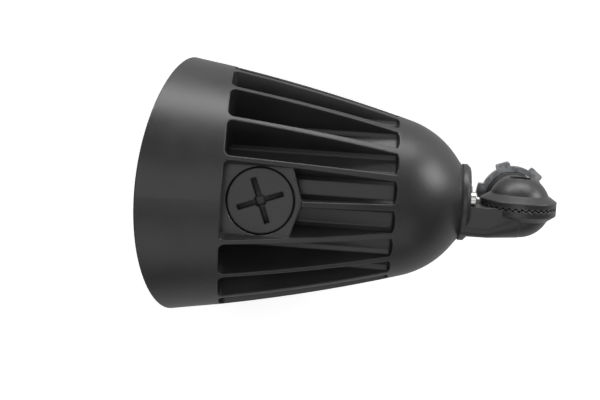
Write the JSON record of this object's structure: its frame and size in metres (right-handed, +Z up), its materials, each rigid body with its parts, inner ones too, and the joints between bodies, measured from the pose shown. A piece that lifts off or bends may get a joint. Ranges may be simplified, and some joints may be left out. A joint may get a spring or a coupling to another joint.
{
  "type": "landscape spotlight",
  "caption": "Finned bullet floodlight head with a slanted hood and a closing plug, tilting on a serrated knuckle over a hollow threaded stem with a lobed locknut.",
  "frame": {"origin": "on the stem's axis, where its free end starts, half a millimetre below the stem gasket that seats on the hub or cover", "axes": "+Z up along the stem, -Y the way the lamp shines at rest, X along the knuckle's pivot with the bolt head towards -X"},
  "size_m": [0.0958, 0.156, 0.0967],
  "materials": {
    "powder_coated_casting": "die-cast aluminium under fine-textured satin black powder coat",
    "clear_glass": "polished toughened flat glass",
    "black_rubber": "matt moulded silicone rubber",
    "black_ring": "satin black anodised aluminium",
    "stainless": "bright stainless steel",
    "mirror_aluminium": "spun bright-anodised aluminium",
    "plain_aluminium": "machined aluminium",
    "board_white": "white solder mask on an aluminium-cored board",
    "thermal_grey": "soft grey thermally conductive pad",
    "emitter_yellow": "yellow phosphor under clear silicone",
    "ceramic_white": "white ceramic",
    "driver_black": "black potted polyamide case",
    "wire_insulation": "silicone-insulated wire",
    "zinc_plate": "zinc-plated pressed steel"
  },
  "bodies": {
    "base": {"knuckle_base": "powder_coated_casting", "knuckle_seal": "black_rubber"},
    "head": {"housing": "powder_coated_casting", "lens": "clear_glass", "lens_gasket": "black_rubber", "lens_ring": "black_ring", "lens_ring_screws": "stainless", "reflector": "mirror_aluminium", "led_board": "board_white", "led_substrate": "ceramic_white", "led_emitter": "emitter_yellow", "board_screws": "stainless", "thermal_pad": "thermal_grey", "heat_spreader": "plain_aluminium", "spreader_screws": "stainless", "driver_case": "driver_black", "led_leads": "wire_insulation", "flange_gasket": "black_rubber", "knuckle_arm": "powder_coated_casting", "flange_screws": "stainless"},
    "plug_seal": {"plug_seal": "black_rubber"},
    "plug": {"plug": "powder_coated_casting"},
    "bolt_washer": {"bolt_washer": "stainless"},
    "knuckle_bolt": {"knuckle_bolt": "stainless"},
    "stem_gasket": {"stem_gasket": "black_rubber"},
    "locknut": {"locknut": "zinc_plate"}
  },
  "joints": [
    {"name": "knuckle_tilt", "type": "hinge", "parent": "base", "child": "head", "pos_m": [0, 0, 0.0273], "axis": [1, 0, 0], "range_deg": [-185, 5]},
    {"name": "plug_travel", "type": "slide", "parent": "head", "child": "plug_seal", "axis": [0, 0, 1], "range_m": [0, 0.011]},
    {"name": "plug_turn", "type": "hinge", "parent": "plug_seal", "child": "plug", "pos_m": [0, -0.0973, 0.06], "axis": [0, 0, 1], "range_deg": [-1, 2184]},
    {"name": "locknut_travel", "type": "slide", "parent": "base", "child": "stem_gasket", "axis": [0, 0, 1], "range_m": [-0.005, 0.0035]},
    {"name": "locknut_turn", "type": "hinge", "parent": "stem_gasket", "child": "locknut", "pos_m": [0, 0, 0.003], "axis": [0, 0, 1], "range_deg": [-993.3, 695.6]},
    {"name": "bolt_travel", "type": "slide", "parent": "base", "child": "bolt_washer", "axis": [-1, 0, 0], "range_m": [0, 0.003]},
    {"name": "bolt_turn", "type": "hinge", "parent": "bolt_washer", "child": "knuckle_bolt", "pos_m": [0, 0, 0.0273], "axis": [-1, 0, 0], "range_deg": [-1, 1543.9]}
  ],
  "couplings": [
    {"joint": "plug_turn", "follows": "plug_travel", "rad_per_m": 3463.7},
    {"joint": "locknut_turn", "follows": "locknut_travel", "rad_per_m": 3463.7},
    {"joint": "bolt_turn", "follows": "bolt_travel", "rad_per_m": 8976}
  ]
}
